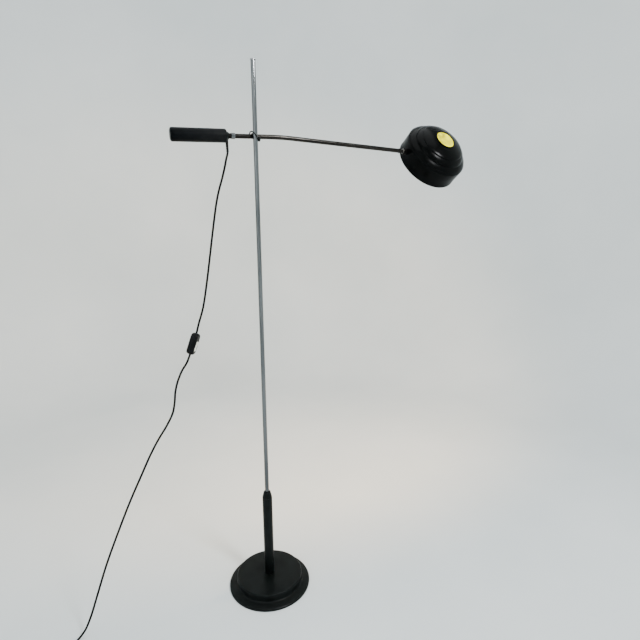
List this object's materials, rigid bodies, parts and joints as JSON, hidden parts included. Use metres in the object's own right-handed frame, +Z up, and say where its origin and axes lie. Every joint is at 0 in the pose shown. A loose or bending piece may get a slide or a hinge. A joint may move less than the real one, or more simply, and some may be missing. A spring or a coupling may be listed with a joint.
{
  "type": "adjustable arm floor lamp",
  "caption": "Floor lamp with a weighted stepped disc base, slim chrome pole, counterweighted sliding and swivelling arm, ball-jointed stepped dome shade and switched mains lead.",
  "frame": {"origin": "centre of the round base on the floor, on the pole axis", "axes": "+Z up along the pole, +X along the arm towards the shade, +Y to the side of the pole on which the arm lies"},
  "size_m": [1.3358, 0.2786, 1.59],
  "materials": {
    "chrome": "bright chrome plate",
    "bright_steel": "zinc-bright steel",
    "cast_iron": "rough sand-cast",
    "black_satin": "satin black powder coat",
    "black_gloss": "gloss black enamel on spun aluminium, white inside",
    "dark_tube": "black-nickel plated tube",
    "black_plastic": "fine-textured moulded black",
    "black_rubber": "smooth black PVC",
    "cream_plastic": "smooth cream",
    "nylon": "natural nylon",
    "felt": "pressed black felt",
    "brass": "plain brass",
    "vent_glass": "pale yellow frosted glass, lit from inside",
    "opal_bulb": "opal white globe"
  },
  "bodies": {
    "stand": {"base_felt": "felt", "base_cover": "black_satin", "base_weight": "cast_iron", "base_washer": "bright_steel", "base_nut": "bright_steel", "base_stud": "bright_steel", "pole_foot": "bright_steel", "socket_tube": "black_satin", "socket_bush": "nylon", "socket_nose": "black_satin", "pole": "chrome", "pole_cap": "bright_steel"},
    "lead": {"cord_lower": "black_rubber", "cord_coil": "black_rubber", "cord_tie": "black_plastic", "plug_body": "black_rubber", "plug_pin_left": "bright_steel", "plug_pin_right": "bright_steel"},
    "carriage": {"pole_shoe": "black_plastic", "pivot_pin": "bright_steel", "cord_upper": "black_rubber", "switch_cover": "black_plastic", "switch_base": "black_plastic", "switch_contacts": "brass", "switch_screw_1": "bright_steel", "switch_screw_2": "bright_steel"},
    "rocker": {"switch_rocker": "cream_plastic"},
    "arm": {"arm_tube": "dark_tube", "arm_lead": "black_rubber", "grip_shell": "black_satin", "weight_core": "bright_steel", "weight_screw": "bright_steel", "grip_shoulder": "black_satin", "neck_ring": "chrome", "knurled_collar": "chrome", "cord_gland": "black_rubber", "bail_wire": "black_satin", "bail_nut": "black_satin", "arm_shoe": "black_plastic", "end_ferrule": "chrome", "joint_ball": "chrome"},
    "knuckle": {"joint_liner": "nylon"},
    "shade": {"shade_shell": "black_gloss", "vent_ring": "black_gloss", "vent_glass": "vent_glass", "joint_socket": "dark_tube", "socket_nut": "bright_steel", "lampholder": "black_plastic", "holder_ring": "black_plastic", "holder_lead": "black_rubber", "bulb_cap": "bright_steel", "bulb_glass": "opal_bulb"}
  },
  "joints": [
    {"name": "arm_swivel", "type": "hinge", "parent": "stand", "child": "lead", "pos_m": [0, 0, 0], "axis": [0, 0, 1], "range_deg": [-170, 170]},
    {"name": "height_slide", "type": "slide", "parent": "lead", "child": "carriage", "axis": [0, 0, 1], "range_m": [-0.69, 0.17], "deforming": ["cord_lower"]},
    {"name": "arm_tilt", "type": "hinge", "parent": "carriage", "child": "arm", "pos_m": [0, 0.009, 1.396], "axis": [0, -1, 0], "range_deg": [-25, 20], "deforming": ["cord_upper"]},
    {"name": "head_roll", "type": "hinge", "parent": "arm", "child": "knuckle", "pos_m": [0.48971, 0.018, 1.38508], "axis": [0.9994, 0, -0.035], "range_deg": [-175, 65]},
    {"name": "head_tilt", "type": "hinge", "parent": "knuckle", "child": "shade", "pos_m": [0.48971, 0.018, 1.38508], "axis": [0.0285, 0.5792, 0.8147], "range_deg": [-25, 25]},
    {"name": "switch_rock", "type": "hinge", "parent": "carriage", "child": "rocker", "pos_m": [-0.19242, 0.01389, 0.81534], "axis": [0.4837, 0.8577, -0.1744], "range_deg": [-15, 0]}
  ]
}
